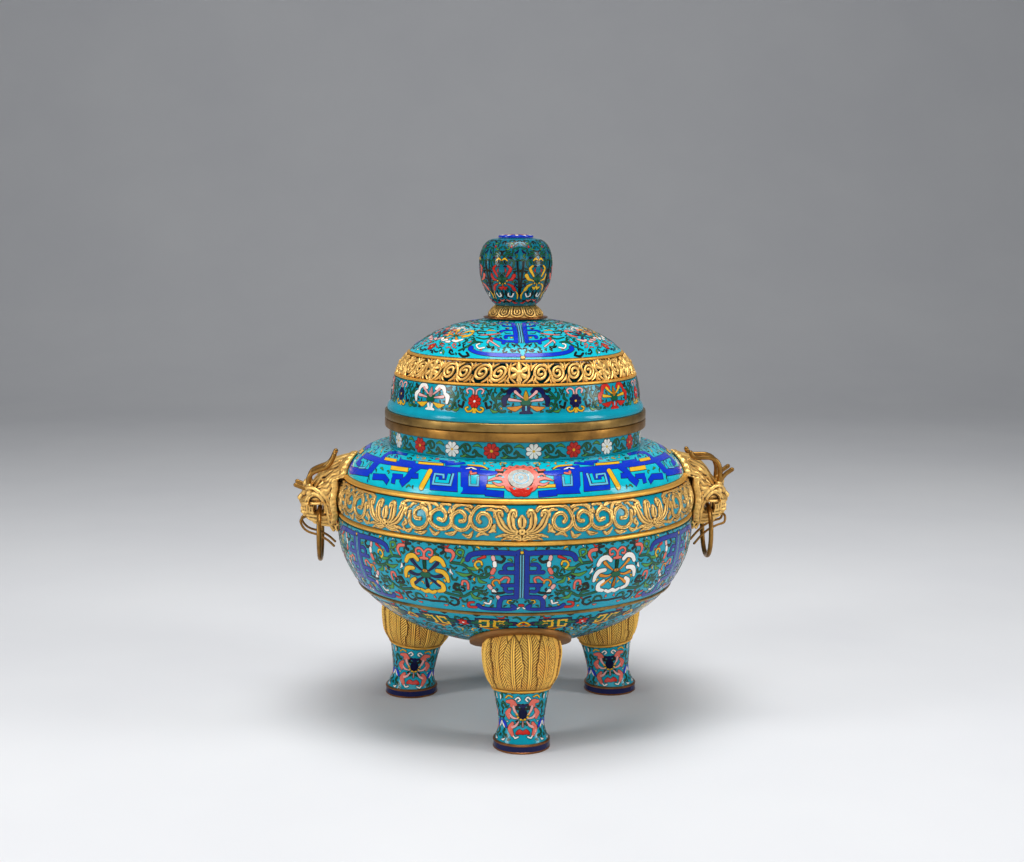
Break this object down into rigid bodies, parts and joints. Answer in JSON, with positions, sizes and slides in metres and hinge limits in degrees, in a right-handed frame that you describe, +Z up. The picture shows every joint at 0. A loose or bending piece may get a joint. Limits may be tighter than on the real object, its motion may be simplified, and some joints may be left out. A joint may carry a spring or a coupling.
{
  "type": "incense burner",
  "caption": "Lidded tripod incense burner of enamelled and gilt metal, with a domed pierced lid, lobed knop and beast-mask side handles holding loose rings",
  "frame": {"origin": "on the floor plane, under the vessel's vertical axis", "axes": "+Z up, -Y towards the front leg, the two masks on -X and +X"},
  "size_m": [0.4068, 0.3304, 0.444],
  "materials": {
    "turquoise_enamel": "glossy turquoise cloisonne enamel with coloured lotus scrolls in copper wires",
    "cobalt_enamel": "glossy cobalt and turquoise cloisonne enamel with key-fret scrolls in copper wires",
    "gilt": "fire-gilt chased bronze, worn on its high points",
    "bronze": "aged brown bronze with traces of gilding",
    "dark_bronze": "dark patinated bronze"
  },
  "bodies": {
    "vessel": {"bowl": "turquoise_enamel", "bowl_moulding": "dark_bronze", "belt_lower_fillet": "gilt", "belt_band": "gilt", "belt_upper_fillet": "gilt", "shoulder": "cobalt_enamel", "neck": "turquoise_enamel", "mouth_ring": "bronze", "front_leg_flange": "bronze", "front_leg_bulb": "gilt", "front_leg_fillet": "gilt", "front_leg_shank": "turquoise_enamel", "front_leg_foot": "dark_bronze", "front_leg_stud": "bronze", "front_leg_nut": "bronze", "rear_left_leg_flange": "bronze", "rear_left_leg_bulb": "gilt", "rear_left_leg_fillet": "gilt", "rear_left_leg_shank": "turquoise_enamel", "rear_left_leg_foot": "dark_bronze", "rear_left_leg_stud": "bronze", "rear_left_leg_nut": "bronze", "rear_right_leg_flange": "bronze", "rear_right_leg_bulb": "gilt", "rear_right_leg_fillet": "gilt", "rear_right_leg_shank": "turquoise_enamel", "rear_right_leg_foot": "dark_bronze", "rear_right_leg_stud": "bronze", "rear_right_leg_nut": "bronze", "left_mask": "gilt", "left_front_horn": "bronze", "left_rear_horn": "bronze", "left_front_whisker": "bronze", "left_rear_whisker": "bronze", "left_mask_stud": "bronze", "left_mask_nut": "bronze", "right_mask": "gilt", "right_front_horn": "bronze", "right_rear_horn": "bronze", "right_front_whisker": "bronze", "right_rear_whisker": "bronze", "right_mask_stud": "bronze", "right_mask_nut": "bronze"},
    "lid": {"lid_ring": "dark_bronze", "lid_spigot": "bronze", "lid_band": "turquoise_enamel", "gallery_lower_fillet": "gilt", "gallery": "gilt", "gallery_upper_fillet": "gilt", "dome": "turquoise_enamel", "knop_washer": "bronze", "knop_collar": "gilt", "knop": "turquoise_enamel", "knop_cap": "cobalt_enamel", "knop_stud": "bronze", "knop_nut": "bronze"},
    "left_loose_ring": {"left_ring": "bronze"},
    "right_loose_ring": {"right_ring": "bronze"}
  },
  "joints": [
    {"name": "lid_lift", "type": "slide", "parent": "vessel", "child": "lid", "axis": [0, 0, 1], "range_m": [0, 0.15]},
    {"name": "left_ring_swing", "type": "hinge", "parent": "vessel", "child": "left_loose_ring", "pos_m": [-0.18, 0, 0.19375], "axis": [0, 1, 0], "range_deg": [-12, 75]},
    {"name": "right_ring_swing", "type": "hinge", "parent": "vessel", "child": "right_loose_ring", "pos_m": [0.18, 0, 0.19375], "axis": [0, -1, 0], "range_deg": [-12, 75]}
  ]
}
